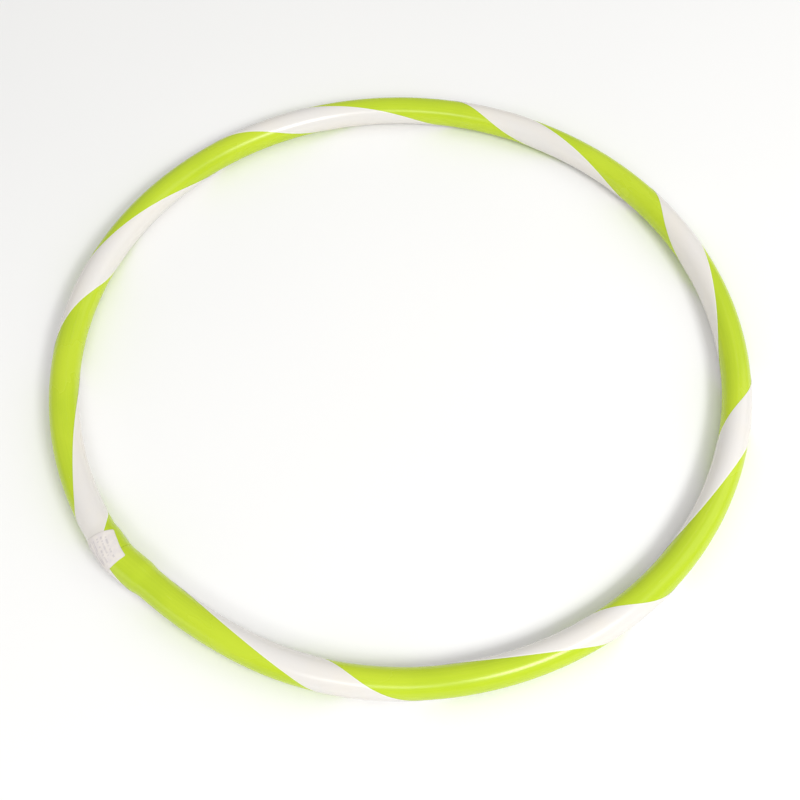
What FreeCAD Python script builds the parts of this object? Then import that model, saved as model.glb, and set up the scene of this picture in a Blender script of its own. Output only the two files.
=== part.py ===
import FreeCAD, Part
import math
import os

from FreeCAD import Vector

# A child's hoop: a soft plastic tube bent into a ring, its two ends pushed on to a short plug and
# stapled, with a spiral of adhesive tape wound round it and a paper sticker over the joint.
#
# Frame, in millimetres: the hoop lies flat on the ground, +Z is up through the middle of the ring,
# and the origin is on the ground at the ring's centre. Bearings turn from +X towards +Y.

# ---- Sizes of the whole hoop ----
OVERALL_DIAMETER = 600.0
TUBE_DIAMETER = 25.0
TUBE_WALL = 1.6

# ---- Where the joint is, and how the ring's line has settled round it ----
JOINT_BEARING = 220.5       # degrees
JOINT_STANDS_OUT = 3.0      # the corner's distance outside the ring's circle
LEFT_END_OUTWARD = 2.0      # degrees between the circle and the tube end before the joint
RIGHT_END_INWARD = 11.0     # degrees between the circle and the tube end after the joint
LEFT_STRAIGHT = 1.2         # length that the plug keeps straight on each side of the corner's bend
RIGHT_STRAIGHT = 41.2
LEFT_RELAXED = 64.0         # degrees of ring before the joint that have left the circle
RIGHT_RELAXED = 42.0
CORNER_BEND_RADIUS = 60.0
SEAM_GAP = 0.3              # between the two square-cut ends of the tube

# ---- The plug inside the joint, and the ends of the tube stretched over it ----
END_STRETCH = 1.2           # how far the plug swells the tube, in radius
PLUG_LEFT = 18.0            # full-width length of the plug on each side of the seam
PLUG_RIGHT = 22.0
STRETCH_TAPER = 12.0        # length over which the tube comes back to its own size
PLUG_NOSE = 8.0             # tapered lead-in at each end of the plug
PLUG_NOSE_DROP = 1.6        # how much smaller in radius its tip is
PLUG_NOSE_CURVE = 1.5       # 1 is a straight taper, more is a rounder one
PLUG_WALL = 2.2
PLUG_FIT = 0.1              # radial clearance in the tube's bore

# ---- Staples through the tube wall into the plug, one on each side of the seam ----
STAPLE_CROWN = 8.0
STAPLE_LEG = 5.0
STAPLE_WIRE_WIDTH = 1.2
STAPLE_WIRE_THICKNESS = 0.5
STAPLE_CORNER = 0.4
STAPLE_CORNER_LIMIT = 0.8   # largest corner radius, as a share of the wire's thickness
STAPLE_FROM_SEAM = 12.0
STAPLE_AROUND = 190.0       # degrees round the tube, on the inner side below the middle
STAPLE_CLEARANCE = 0.1

# ---- Spiral tape ----
TAPE_WIDTH = 30.0
TAPE_THICKNESS = 0.25
TAPE_GLUE = 0.05            # thickness of adhesive, left empty under the tape
TAPE_END_GAP = 1.0
# Degrees along the ring, from the joint, at which each turn of the hand-wound tape crosses the top,
# and its rate along the ring there as a share of the mean rate of the two turns that meet.
TAPE_TOPS = [-8.6, 36.1, 80.7, 123.8, 166.7, 209.0, 252.7, 303.0]
TAPE_PACES = [0.5, 0.8, 0.85, 0.9, 1.05, 1.0, 0.95, 0.8]
TAPE_CUT = 0.25             # share of a turn past the first crossing where the tape starts and ends

# ---- Paper sticker over the joint ----
LABEL_LENGTH = 28.0         # along the tube
LABEL_WRAP = 40.0           # round the tube
LABEL_THICKNESS = 0.12
LABEL_GLUE = 0.05
LABEL_SHIFT = -10.0         # its middle, along the tube from the seam
LABEL_AROUND = 32.0         # its middle, in degrees round the tube from the outer side up
LABEL_SKEW = -14.0          # degrees that its length is turned from the tube's, upwards

# ---- Fineness of the curved surfaces ----
SECTION_STEP = 2.0          # between the sections of a tube whose radius changes
STEPS_PER_TURN = 60         # along the tape
STEPS_ACROSS = 12           # across the tape and the sticker, always even
LABEL_STEPS = 12            # along the sticker
SPARE_ROWS = 6              # beyond each end of a sheet, so that its ends are as true as its middle
WALK_STEPS = 6              # small steps between two neighbouring points across the tape
NEARBY_TURNS = 0.01         # share of a turn before and after a row that shows which way the tape runs
HALVINGS = 60               # rounds of the search for the tape's lean
STEEPEST_WIND = 0.5         # its lower bound, cosine of a 60 degree lean
TINY = 1e-6                 # two lengths nearer than this, or shares of one, are equal

tube_radius = TUBE_DIAMETER / 2
ring_radius = (OVERALL_DIAMETER - TUBE_DIAMETER) / 2
swollen_radius = tube_radius + END_STRETCH
label_lift = TAPE_GLUE + TAPE_THICKNESS + LABEL_GLUE
ring_height = swollen_radius + TAPE_GLUE + TAPE_THICKNESS


# ---- The ring's line: arcs and straights that meet smoothly, measured from the seam ----

def unit(angle):
    return Vector(math.cos(angle), math.sin(angle), 0)


def arc_between(start, heading, end):
    """Arc from start, leaving along heading, that passes through end."""
    chord = end - start
    side = chord.dot(unit(heading + math.pi / 2))
    ahead = chord.dot(unit(heading))
    radius = chord.dot(chord) / (2 * side)
    turn = 2 * math.atan2(side, ahead)
    return {"start": start, "heading": heading, "radius": radius, "length": radius * turn}


def meeting_point(start, heading_in, end, heading_out):
    """Point where two arcs that join start to end smoothly touch each other."""
    tangent_in = unit(heading_in)
    tangent_out = unit(heading_out)
    chord = end - start
    along = chord.dot(tangent_in + tangent_out)
    spread = 2 * (1 - tangent_in.dot(tangent_out))
    reach = (math.sqrt(along ** 2 + spread * chord.dot(chord)) - along) / spread
    return (start + end + (tangent_in - tangent_out) * reach) * 0.5


def two_arcs(start, heading_in, end, heading_out):
    middle = meeting_point(start, heading_in, end, heading_out)
    first = arc_between(start, heading_in, middle)
    turned = heading_in + first["length"] / first["radius"]
    return [first, arc_between(middle, turned, end)]


def straight(start, heading, length):
    return {"start": start, "heading": heading, "radius": None, "length": length}


def ring_line():
    """Pieces of the ring's centre line, from the seam once round to the seam."""
    joint = math.radians(JOINT_BEARING)
    corner = unit(joint) * (ring_radius + JOINT_STANDS_OUT)
    quarter = math.pi / 2
    heading_left = joint + quarter - math.radians(LEFT_END_OUTWARD)
    heading_right = joint + quarter + math.radians(RIGHT_END_INWARD)
    bend = heading_right - heading_left
    bend_reach = CORNER_BEND_RADIUS * math.tan(bend / 2)
    bend_start = corner - unit(heading_left) * bend_reach
    bend_end = corner + unit(heading_right) * bend_reach
    left_start = bend_start - unit(heading_left) * LEFT_STRAIGHT
    right_end = bend_end + unit(heading_right) * RIGHT_STRAIGHT
    leaves = joint - math.radians(LEFT_RELAXED)
    returns = joint + math.radians(RIGHT_RELAXED)
    leave_point = unit(leaves) * ring_radius
    return_point = unit(returns) * ring_radius
    half_bend = CORNER_BEND_RADIUS * bend / 2
    whole_bend = arc_between(bend_start, heading_left, bend_end)
    seam_point, seam_heading = point_on(whole_bend, half_bend)
    first_half = arc_between(bend_start, heading_left, seam_point)
    second_half = arc_between(seam_point, seam_heading, bend_end)
    round_part = {"start": return_point, "heading": returns + quarter, "radius": ring_radius,
                  "length": ring_radius * (2 * math.pi - returns + leaves)}
    pieces = [second_half, straight(bend_end, heading_right, RIGHT_STRAIGHT)]
    pieces += two_arcs(right_end, heading_right, return_point, returns + quarter)
    pieces += [round_part]
    pieces += two_arcs(leave_point, leaves + quarter, left_start, heading_left)
    pieces += [straight(left_start, heading_left, LEFT_STRAIGHT), first_half]
    return pieces


def point_on(piece, along):
    """Point and heading a distance along one piece of the line."""
    if piece["radius"] is None:
        return piece["start"] + unit(piece["heading"]) * along, piece["heading"]
    turned = piece["heading"] + along / piece["radius"]
    centre = piece["start"] + unit(piece["heading"] + math.pi / 2) * piece["radius"]
    return centre + unit(turned - math.pi / 2) * piece["radius"], turned


LINE = ring_line()
LINE_LENGTH = sum(piece["length"] for piece in LINE)


def place(along):
    """Point and heading of the ring's line, any distance along from the seam."""
    left = along % LINE_LENGTH
    index = 0
    while index < len(LINE) - 1 and left > LINE[index]["length"]:
        left -= LINE[index]["length"]
        index += 1
    point, heading = point_on(LINE[index], left)
    return point + Vector(0, 0, ring_height), heading


def from_seam(along):
    """Signed distance from the seam, negative before it."""
    return (along + LINE_LENGTH / 2) % LINE_LENGTH - LINE_LENGTH / 2


def around(along, angle):
    """Direction out of the ring's line: 0 is the ring's outer side, 90 degrees is up."""
    heading = place(along)[1]
    return unit(heading - math.pi / 2) * math.cos(angle) + Vector(0, 0, math.sin(angle))


def on_tube(along, angle, lift):
    """Point that stands a distance above the outside of the tube."""
    return place(along)[0] + around(along, angle) * (outside_radius(along) + lift)


# ---- Radii along the tube and the plug ----

def fade(distance, full, taper):
    """1 up to a distance, then easing down to 0 over the taper."""
    share = min(max((distance - full) / taper, 0), 1)
    return (1 + math.cos(math.pi * share)) / 2


def plug_reach(along):
    return PLUG_RIGHT if from_seam(along) >= 0 else PLUG_LEFT


def outside_radius(along):
    stretched = fade(abs(from_seam(along)), plug_reach(along), STRETCH_TAPER)
    return tube_radius + END_STRETCH * stretched


def bore_radius(along):
    return outside_radius(along) - TUBE_WALL


def plug_radius(along):
    full_radius = swollen_radius - TUBE_WALL - PLUG_FIT
    into_nose = max(abs(from_seam(along)) - plug_reach(along), 0) / PLUG_NOSE
    return full_radius - PLUG_NOSE_DROP * into_nose ** PLUG_NOSE_CURVE


def plug_bore_radius(along):
    return swollen_radius - TUBE_WALL - PLUG_FIT - PLUG_WALL


def upright(heading):
    """Rotation that turns a flat section to face along the line, with its first point at the top."""
    up = Vector(0, 0, 1)
    ahead = unit(heading)
    return FreeCAD.Rotation(up, ahead.cross(up), ahead, "ZXY")


def section(along, radius):
    """Circle square to the line."""
    point, heading = place(along)
    circle = Part.makeCircle(radius)
    circle.Placement = FreeCAD.Placement(point, upright(heading))
    return Part.Wire(circle)


def changing_bar(start, end, radius_at):
    """Solid bar through closely spaced sections, for the stretch where its radius changes."""
    count = max(2, round((end - start) / SECTION_STEP))
    stations = [start + (end - start) * step / count for step in range(count + 1)]
    return Part.makeLoft([section(along, radius_at(along)) for along in stations], True)


def line_edges(start, end):
    """Arcs and straights of the ring's line between two distances from the seam."""
    edges = []
    passed = 0
    for piece in LINE:
        first = max(start - passed, 0)
        last = min(end - passed, piece["length"])
        passed += piece["length"]
        if first >= last:
            continue
        points = [point_on(piece, along)[0] for along in (first, (first + last) / 2, last)]
        points = [point + Vector(0, 0, ring_height) for point in points]
        if piece["radius"] is None:
            edges.append(Part.LineSegment(points[0], points[2]).toShape())
        else:
            edges.append(Part.Arc(*points).toShape())
    return edges


def even_bar(start, end, radius):
    """Solid bar of one radius, swept along the line."""
    profile = Part.Face(section(start, radius))
    return Part.Wire(line_edges(start, end)).makePipe(profile)


def pipe(start, end, outside_at, inside_at):
    """Hollow bar with a changing radius."""
    return changing_bar(start, end, outside_at).cut(changing_bar(start, end, inside_at))


# ---- Thin sheets that lie on the tube ----

SAME_WAY = 1                # both edges of a ruled strip are followed in the direction they have

def skin(grid, spans):
    """Smooth faces through rows of points, in equal spans; the spare rows at each end are left off."""
    surface = Part.BSplineSurface()
    surface.interpolate(grid)
    knots = surface.getUKnots()
    used_rows = len(grid) - 1 - 2 * SPARE_ROWS
    ends = [knots[SPARE_ROWS + used_rows * span // spans] for span in range(spans + 1)]
    faces = []
    for start, end in zip(ends, ends[1:]):
        piece = surface.copy()
        piece.segment(start, end, 0, 1)
        faces.append(piece.toShape())
    return faces


def sheet(row_at, steps, low, high, spans=1):
    """Solid between two heights above the tube; row_at gives (distance along, angle round) pairs."""
    rows = [row_at(step / steps) for step in range(-SPARE_ROWS, steps + SPARE_ROWS + 1)]
    under = skin([[on_tube(along, angle, low) for along, angle in row] for row in rows], spans)
    over = skin([[on_tube(along, angle, high) for along, angle in row] for row in rows], spans)
    faces = under + over
    for span, (below, above) in enumerate(zip(under, over)):
        strips = [Part.makeRuledSurface(a, b, SAME_WAY) for a, b in zip(below.Edges, above.Edges)]
        start, side, end, other_side = strips
        faces += [side, other_side]
        if span == 0:
            faces.append(start)
        if span == spans - 1:
            faces.append(end)
    shell = Part.makeShell(faces)
    shell.sewShape()
    return Part.makeSolid(shell)


# ---- How the tape winds: the shortest line over a round ring, as a taut tape runs ----

def slope_of_wind(angle, constant):
    """Radians along the ring gained for each radian wound round the tube."""
    reach = 1 + tube_radius / ring_radius * math.cos(angle)
    lean = math.acos(constant / reach)
    return tube_radius / ring_radius / (reach * math.tan(lean))


def gain_over(first, last, constant):
    steps = STEPS_PER_TURN
    width = (last - first) / steps
    middles = [first + width * (step + 0.5) for step in range(steps)]
    return sum(slope_of_wind(middle, constant) for middle in middles) * width


def wind_constant():
    """Sets the tape's lean so that its mean turn fills its share of the ring."""
    wanted = 2 * math.pi / len(TAPE_TOPS)
    low = STEEPEST_WIND
    high = 1 - tube_radius / ring_radius - TINY
    for _ in range(HALVINGS):
        middle = (low + high) / 2
        if gain_over(0, 2 * math.pi, middle) < wanted:
            low = middle
        else:
            high = middle
    return middle


WIND = wind_constant()


def top_crossing(turn):
    lap, index = divmod(turn, len(TAPE_TOPS))
    return math.radians(TAPE_TOPS[index] + 360 * lap)


def smooth_crossing(turns):
    """Position along the ring between the marked crossings, easing from one turn to the next."""
    turn = math.floor(turns)
    part = turns - turn
    before, start, end, after = [top_crossing(turn + step) for step in (-1, 0, 1, 2)]
    rate_at_start = TAPE_PACES[turn % len(TAPE_PACES)] * (end - before) / 2
    rate_at_end = TAPE_PACES[(turn + 1) % len(TAPE_PACES)] * (after - start) / 2
    eased = start + (end - start) * part ** 2 * (3 - 2 * part)
    return eased + rate_at_start * part * (1 - part) ** 2 - rate_at_end * part ** 2 * (1 - part)


def tape_middle(turns):
    """Bearing from the joint and angle round the tube, in radians, after some turns."""
    wound = 2 * math.pi * (turns - math.floor(turns))
    angle = math.pi / 2 - wound
    even = wound / len(TAPE_TOPS)
    lead = gain_over(angle, math.pi / 2, WIND) - even
    return smooth_crossing(turns) + lead, angle - 2 * math.pi * math.floor(turns)


def along_of(bearing):
    return bearing * LINE_LENGTH / (2 * math.pi)


def walk(bearing, angle, heading, distance):
    """Goes straight ahead over the tube's surface in small steps; lengths are in ring radii."""
    stride = distance / WALK_STEPS
    for _ in range(WALK_STEPS):
        thick = outside_radius(along_of(bearing)) / ring_radius
        reach = 1 + thick * math.cos(angle)
        bend = -math.sin(angle) * math.cos(heading) / reach * stride
        middle = heading + bend / 2
        bearing += math.cos(middle) / reach * stride
        angle += math.sin(middle) / thick * stride
        heading += bend
    return bearing, angle, heading


def tape_row(turns):
    """Points across the tape, square to its run."""
    before = tape_middle(turns - NEARBY_TURNS)
    here = tape_middle(turns)
    after = tape_middle(turns + NEARBY_TURNS)
    thick = outside_radius(along_of(here[0])) / ring_radius
    reach = 1 + thick * math.cos(here[1])
    run = math.atan2((after[1] - before[1]) * thick, (after[0] - before[0]) * reach)
    stride = TAPE_WIDTH / STEPS_ACROSS / ring_radius
    row = [here]
    for side in (1, -1):
        point = (here[0], here[1], run + side * math.pi / 2)
        for _ in range(STEPS_ACROSS // 2):
            point = walk(*point, stride)
            row.append(point[:2]) if side > 0 else row.insert(0, point[:2])
    return [(along_of(bearing), angle) for bearing, angle in row]


# ---- The pieces ----

def hoop_tube():
    """Even round most of the ring, and swollen at its two ends, which almost meet at the seam."""
    after = PLUG_RIGHT + STRETCH_TAPER
    before = LINE_LENGTH - PLUG_LEFT - STRETCH_TAPER
    right_end = pipe(SEAM_GAP / 2, after, outside_radius, bore_radius)
    left_end = pipe(before, LINE_LENGTH - SEAM_GAP / 2, outside_radius, bore_radius)
    bore = tube_radius - TUBE_WALL
    round_part = even_bar(after, before, tube_radius).cut(even_bar(after, before, bore))
    tube = round_part.multiFuse([right_end, left_end]).removeSplitter()
    return tube.cut(staple_slots())


def joint_plug():
    """Hollow plug with tapered noses, held by the staples inside both ends of the tube."""
    start = -PLUG_LEFT - PLUG_NOSE
    end = PLUG_RIGHT + PLUG_NOSE
    return pipe(start, end, plug_radius, plug_bore_radius).cut(staple_slots())


def staple_placement(along):
    """Local x runs along the tube, y points out of its surface, from the tube's outside."""
    angle = math.radians(STAPLE_AROUND)
    x_axis = unit(place(along)[1])
    y_axis = around(along, angle)
    return FreeCAD.Placement(on_tube(along, angle, 0),
                             FreeCAD.Rotation(x_axis, y_axis, x_axis.cross(y_axis), "XYZ"))


def staple(clearance, rounding):
    """Square-cornered U of flat wire, grown by a clearance for the slots it sits in."""
    half = STAPLE_CROWN / 2 + clearance
    wire = STAPLE_WIRE_THICKNESS + 2 * clearance
    low = TAPE_GLUE - clearance
    high = TAPE_GLUE + STAPLE_WIRE_THICKNESS + clearance
    width = STAPLE_WIRE_WIDTH + 2 * clearance
    crown = Part.makeBox(2 * half, high - low, width, Vector(-half, low, -width / 2))
    shape = crown
    for side in (-half, half - wire):
        leg = Part.makeBox(wire, STAPLE_LEG + high, width, Vector(side, -STAPLE_LEG, -width / 2))
        shape = shape.fuse(leg)
    shape = shape.removeSplitter()
    if not rounding:
        return shape
    shoulders = [edge for edge in shape.Edges
                 if abs(abs(edge.CenterOfMass.x) - half) < TINY and abs(edge.CenterOfMass.y - high) < TINY]
    return shape.makeFillet(rounding, shoulders)


def staple_slots():
    slots = []
    for along in (-STAPLE_FROM_SEAM, STAPLE_FROM_SEAM):
        slot = staple(STAPLE_CLEARANCE, 0)
        slot.Placement = staple_placement(along)
        slots.append(slot)
    return Part.makeCompound(slots)


def joint_staples():
    staples = []
    for along in (-STAPLE_FROM_SEAM, STAPLE_FROM_SEAM):
        one = staple(0, min(STAPLE_CORNER, STAPLE_CORNER_LIMIT * STAPLE_WIRE_THICKNESS))
        one.Placement = staple_placement(along)
        staples.append(one)
    return Part.makeCompound(staples)


def spiral_tape():
    length_of_turn = math.hypot(math.pi * TUBE_DIAMETER, LINE_LENGTH / len(TAPE_TOPS))
    gap = TAPE_END_GAP / length_of_turn
    first = TAPE_CUT + gap / 2
    turns = len(TAPE_TOPS) - gap
    steps = STEPS_PER_TURN * len(TAPE_TOPS)
    return sheet(lambda share: tape_row(first + turns * share), steps,
                 TAPE_GLUE, TAPE_GLUE + TAPE_THICKNESS, len(TAPE_TOPS))


def label_row(share):
    """Points across the sticker, a share of the way along it."""
    skew = math.radians(LABEL_SKEW)
    ahead = LABEL_LENGTH * (share - 0.5)
    row = []
    for step in range(STEPS_ACROSS + 1):
        up = LABEL_WRAP * (step / STEPS_ACROSS - 0.5)
        along = LABEL_SHIFT + ahead * math.cos(skew) - up * math.sin(skew)
        wound = (ahead * math.sin(skew) + up * math.cos(skew)) / (swollen_radius + label_lift)
        row.append((along, math.radians(LABEL_AROUND) + wound))
    return row


def joint_label():
    return sheet(label_row, LABEL_STEPS, label_lift, label_lift + LABEL_THICKNESS)


PIECES = {
    "hoop_tube": hoop_tube,
    "joint_plug": joint_plug,
    "joint_staples": joint_staples,
    "spiral_tape": spiral_tape,
    "joint_label": joint_label,
}

os.makedirs("parts", exist_ok=True)
for name, build in PIECES.items():
    shape = build()
    shape.exportStep(f"parts/{name}.step")
    box = shape.optimalBoundingBox()
    print(f"{name}: {len(shape.Solids)} solid(s), valid {shape.isValid()}, volume {shape.Volume:.0f} mm3, "
          f"z {box.ZMin:.2f} to {box.ZMax:.2f}")
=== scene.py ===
"""A child's hoop of lime tube with a white spiral tape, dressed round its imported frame.

Lengths are metres and the frame is the CAD's: the hoop lies flat on the ground, +Z is up through
the middle of the ring, and the origin is on the ground. Places on the hoop are given by `along`,
the distance from the seam round the ring's line, and `angle`, the turn round the tube in radians
from its outer side up.
"""

import logging
import math
from dataclasses import dataclass, field
from enum import Enum
from functools import cached_property
from typing import Any, Sequence

import bpy
import numpy as np
from mathutils import Matrix, Vector


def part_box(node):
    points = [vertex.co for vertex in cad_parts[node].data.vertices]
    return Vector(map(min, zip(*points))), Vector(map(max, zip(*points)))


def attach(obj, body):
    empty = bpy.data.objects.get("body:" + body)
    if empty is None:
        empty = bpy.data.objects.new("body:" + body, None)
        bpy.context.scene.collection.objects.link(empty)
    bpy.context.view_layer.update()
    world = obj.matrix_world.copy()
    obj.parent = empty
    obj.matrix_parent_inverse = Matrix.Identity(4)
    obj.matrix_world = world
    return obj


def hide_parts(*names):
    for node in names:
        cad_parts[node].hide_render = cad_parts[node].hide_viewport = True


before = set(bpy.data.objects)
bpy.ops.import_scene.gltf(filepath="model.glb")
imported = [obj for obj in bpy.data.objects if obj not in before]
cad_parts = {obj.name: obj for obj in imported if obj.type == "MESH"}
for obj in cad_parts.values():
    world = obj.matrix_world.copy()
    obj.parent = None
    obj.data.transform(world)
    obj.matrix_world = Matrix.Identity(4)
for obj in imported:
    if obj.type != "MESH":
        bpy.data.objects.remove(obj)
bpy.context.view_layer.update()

log = logging.getLogger("hoop")

MM = 0.001
ROOT = "root"
LAID = "laid"              # attribute: place on a piece as if its tube or tape were laid out straight
MIX_FACTOR, MIX_FIRST, MIX_SECOND = 0, 6, 7      # a Mix node's sockets when it mixes colours
MIX_RESULT = 2

Colour = tuple[float, float, float]
Value = Any                # a number, a colour, a vector or a Wire


class Slot(Enum):
    """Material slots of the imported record."""

    TUBE = "tube_plastic"
    TAPE = "tape_film"
    PLUG = "plug_plastic"
    STAPLE = "staple_steel"
    LABEL = "label_paper"


class Node(Enum):
    """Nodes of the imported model."""

    TUBE = "hoop_tube"
    TAPE = "spiral_tape"
    PLUG = "joint_plug"
    STAPLES = "joint_staples"
    LABEL = "joint_label"


# ---- Shader expressions ----

class Wire:
    """A number or socket inside one material that takes part in arithmetic."""

    def __init__(self, shade: "Shade", socket: Value) -> None:
        """Keeps the socket and the material that it belongs to."""
        self.shade = shade
        self.socket = socket

    def math(self, operation: str, *others: Value) -> "Wire":
        """One Math node.

        Args:
            operation: The node's operation, such as "ADD".
            others: Further inputs after this one.

        Returns:
            The node's result.
        """
        inputs = dict(enumerate((self, *others)))
        return self.shade.node("ShaderNodeMath", {"operation": operation}, inputs)

    def __add__(self, other: Value) -> "Wire":
        """Sum."""
        return self.math("ADD", other)

    def __radd__(self, other: Value) -> "Wire":
        """Sum with a number on the left."""
        return self.math("ADD", other)

    def __sub__(self, other: Value) -> "Wire":
        """Difference."""
        return self.math("SUBTRACT", other)

    def __rsub__(self, other: Value) -> "Wire":
        """Difference from a number."""
        return Wire(self.shade, other).math("SUBTRACT", self)

    def __mul__(self, other: Value) -> "Wire":
        """Product."""
        return self.math("MULTIPLY", other)

    def __rmul__(self, other: Value) -> "Wire":
        """Product with a number on the left."""
        return self.math("MULTIPLY", other)

    def __truediv__(self, other: Value) -> "Wire":
        """Quotient."""
        return self.math("DIVIDE", other)

    def __gt__(self, other: Value) -> "Wire":
        """1 where this is more than the other, else 0."""
        return self.math("GREATER_THAN", other)

    def __lt__(self, other: Value) -> "Wire":
        """1 where this is less than the other, else 0."""
        return self.math("LESS_THAN", other)

    def __abs__(self) -> "Wire":
        """Size without sign."""
        return self.math("ABSOLUTE")

    def floor(self) -> "Wire":
        """Whole number below."""
        return self.math("FLOOR")

    def ramp(self, low: float, high: float) -> "Wire":
        """Smooth rise.

        Args:
            low: Value where the result is 0.
            high: Value where the result is 1; less than low makes a fall.

        Returns:
            A number between 0 and 1.
        """
        inputs = {"Value": self, "From Min": low, "From Max": high}
        return self.shade.node("ShaderNodeMapRange", {"interpolation_type": "SMOOTHSTEP"}, inputs)


class Shade:
    """The node tree of one material or of the surroundings."""

    def __init__(self, owner: bpy.types.Material | bpy.types.World) -> None:
        """Starts with an empty tree.

        Args:
            owner: What the tree belongs to.
        """
        self.owner = owner
        self.owner.use_nodes = True
        self.tree = owner.node_tree
        self.tree.nodes.clear()

    @classmethod
    def named(cls, name: str) -> "Shade":
        """The tree of a new material."""
        return cls(bpy.data.materials.new(name))

    def node(self, kind: str, settings: dict[str, Any] | None = None,
             inputs: dict[str | int, Value] | None = None, output: str | int | None = 0) -> Wire:
        """Any node.

        Args:
            kind: Blender's type name.
            settings: Properties set before the sockets.
            inputs: Values or wires by the socket's name or number.
            output: The output to read, or None at the end of the tree.

        Returns:
            That output.
        """
        made = self.tree.nodes.new(kind)
        for name, value in (settings or {}).items():
            setattr(made, name, value)
        for name, value in (inputs or {}).items():
            self.feed(made.inputs[name], value)
        return Wire(self, None if output is None else made.outputs[output])

    def feed(self, socket: bpy.types.NodeSocket, value: Value) -> None:
        """Links or sets a socket.

        Args:
            socket: The input socket.
            value: A wire, number, colour or vector.
        """
        source = value.socket if isinstance(value, Wire) else value
        if isinstance(source, bpy.types.NodeSocket):
            self.tree.links.new(source, socket)
        elif socket.type == "RGBA":
            socket.default_value = (*source, 1.0)
        else:
            socket.default_value = source

    def place(self) -> Wire:
        """The laid-out place on the piece, as a vector."""
        return self.node("ShaderNodeAttribute", {"attribute_name": LAID}, output="Vector")

    def solid_place(self) -> Wire:
        """The place inside the object's own frame, as a vector."""
        return self.node("ShaderNodeTexCoord", output="Object")

    def parts(self, vector: Wire) -> tuple[Wire, Wire, Wire]:
        """Splits a vector.

        Args:
            vector: The vector.

        Returns:
            Its three numbers.
        """
        split = self.node("ShaderNodeSeparateXYZ", inputs={0: vector}).socket.node
        return tuple(Wire(self, split.outputs[index]) for index in range(3))

    def joined(self, first: Value, second: Value, third: Value) -> Wire:
        """A vector from three numbers.

        Args:
            first: Its X.
            second: Its Y.
            third: Its Z.

        Returns:
            The vector.
        """
        return self.node("ShaderNodeCombineXYZ", inputs={0: first, 1: second, 2: third})

    def scaled(self, vector: Wire, factors: Colour) -> Wire:
        """Product of two vectors, axis by axis.

        Args:
            vector: The place.
            factors: Repeats for each metre along each axis.

        Returns:
            The scaled place.
        """
        return self.node("ShaderNodeVectorMath", {"operation": "MULTIPLY"}, {0: vector, 1: factors})

    def noise(self, place: Wire, per_metre: Colour, detail: float = 2.0, roughness: float = 0.5) -> Wire:
        """Smooth noise with a mean of about a half.

        Args:
            place: Where to read it.
            per_metre: Features for each metre along each axis.
            detail: Octaves of finer noise.
            roughness: How strong those are.

        Returns:
            A number about 0.5.
        """
        inputs = {"Vector": self.scaled(place, per_metre), "Scale": 1.0,
                  "Detail": detail, "Roughness": roughness}
        return self.node("ShaderNodeTexNoise", inputs=inputs, output="Fac")

    def chance(self, cell: Wire) -> Wire:
        """A random number for each cell.

        Args:
            cell: A vector that is the same all over one cell.

        Returns:
            A number between 0 and 1.
        """
        return self.node("ShaderNodeTexWhiteNoise", inputs={"Vector": cell}, output="Value")

    def mixed(self, mask: Value, first: Value, second: Value) -> Wire:
        """Colour between two.

        Args:
            mask: 0 for the first, 1 for the second.
            first: A colour.
            second: A colour.

        Returns:
            The mixed colour.
        """
        inputs = {MIX_FACTOR: mask, MIX_FIRST: first, MIX_SECOND: second}
        return self.node("ShaderNodeMix", {"data_type": "RGBA"}, inputs, MIX_RESULT)

    def bump(self, height: Wire, depth: float, over: Wire | None = None) -> Wire:
        """A normal from a height.

        Args:
            height: 0 to 1.
            depth: Metres between 0 and 1.
            over: A coarser relief under it.

        Returns:
            The normal.
        """
        inputs = {"Height": height, "Strength": 1.0, "Distance": depth}
        return self.node("ShaderNodeBump", inputs=inputs if over is None else inputs | {"Normal": over})

    def finish(self, **inputs: Value) -> bpy.types.Material:
        """Puts a Principled shader at the end of the tree.

        Args:
            inputs: Its sockets by name, with _ for a space.

        Returns:
            The material.
        """
        named = {name.replace("_", " "): value for name, value in inputs.items()}
        shader = self.node("ShaderNodeBsdfPrincipled", inputs=named)
        self.node("ShaderNodeOutputMaterial", inputs={"Surface": shader}, output=None)
        return self.owner


# ---- Finishes ----

@dataclass(frozen=True)
class TubePlastic:
    """Glossy extruded soft plastic: fine draw lines along the tube, faint tone and gloss patches."""

    lime: Colour = (0.515, 0.650, 0.019)
    deep_lime: Colour = (0.450, 0.595, 0.013)
    scuffed: Colour = (0.600, 0.690, 0.170)
    gloss: float = 0.23
    dull: float = 0.38
    draw_line_depth: float = 0.012 * MM
    dimple_depth: float = 0.010 * MM

    def material(self) -> bpy.types.Material:
        """Builds the node tree."""
        shade = Shade.named("lime_tube_plastic")
        place = shade.place()
        draw_lines = shade.noise(place, (9.0, 900.0, 900.0), 3.0)
        patches = shade.noise(place, (14.0, 30.0, 30.0), 3.0)
        dimples = shade.noise(place, (420.0, 420.0, 420.0), 1.0)
        scratch = shade.noise(place, (60.0, 1500.0, 1500.0), 1.0).ramp(0.70, 0.76)
        worn = shade.noise(place, (40.0, 60.0, 60.0), 2.0).ramp(0.56, 0.70)
        scuff = scratch * worn
        tone = (patches * 0.7 + draw_lines * 0.3).ramp(0.35, 0.65)
        colour = shade.mixed(tone, self.deep_lime, self.lime)
        colour = shade.mixed(scuff * 0.5, colour, self.scuffed)
        rough = self.gloss + (self.dull - self.gloss) * (patches.ramp(0.40, 0.75) * 0.5 + scuff * 0.5)
        relief = shade.bump(dimples, self.dimple_depth, shade.bump(draw_lines, self.draw_line_depth))
        return shade.finish(Base_Color=colour, Roughness=rough, Normal=relief, IOR=1.50)


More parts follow.
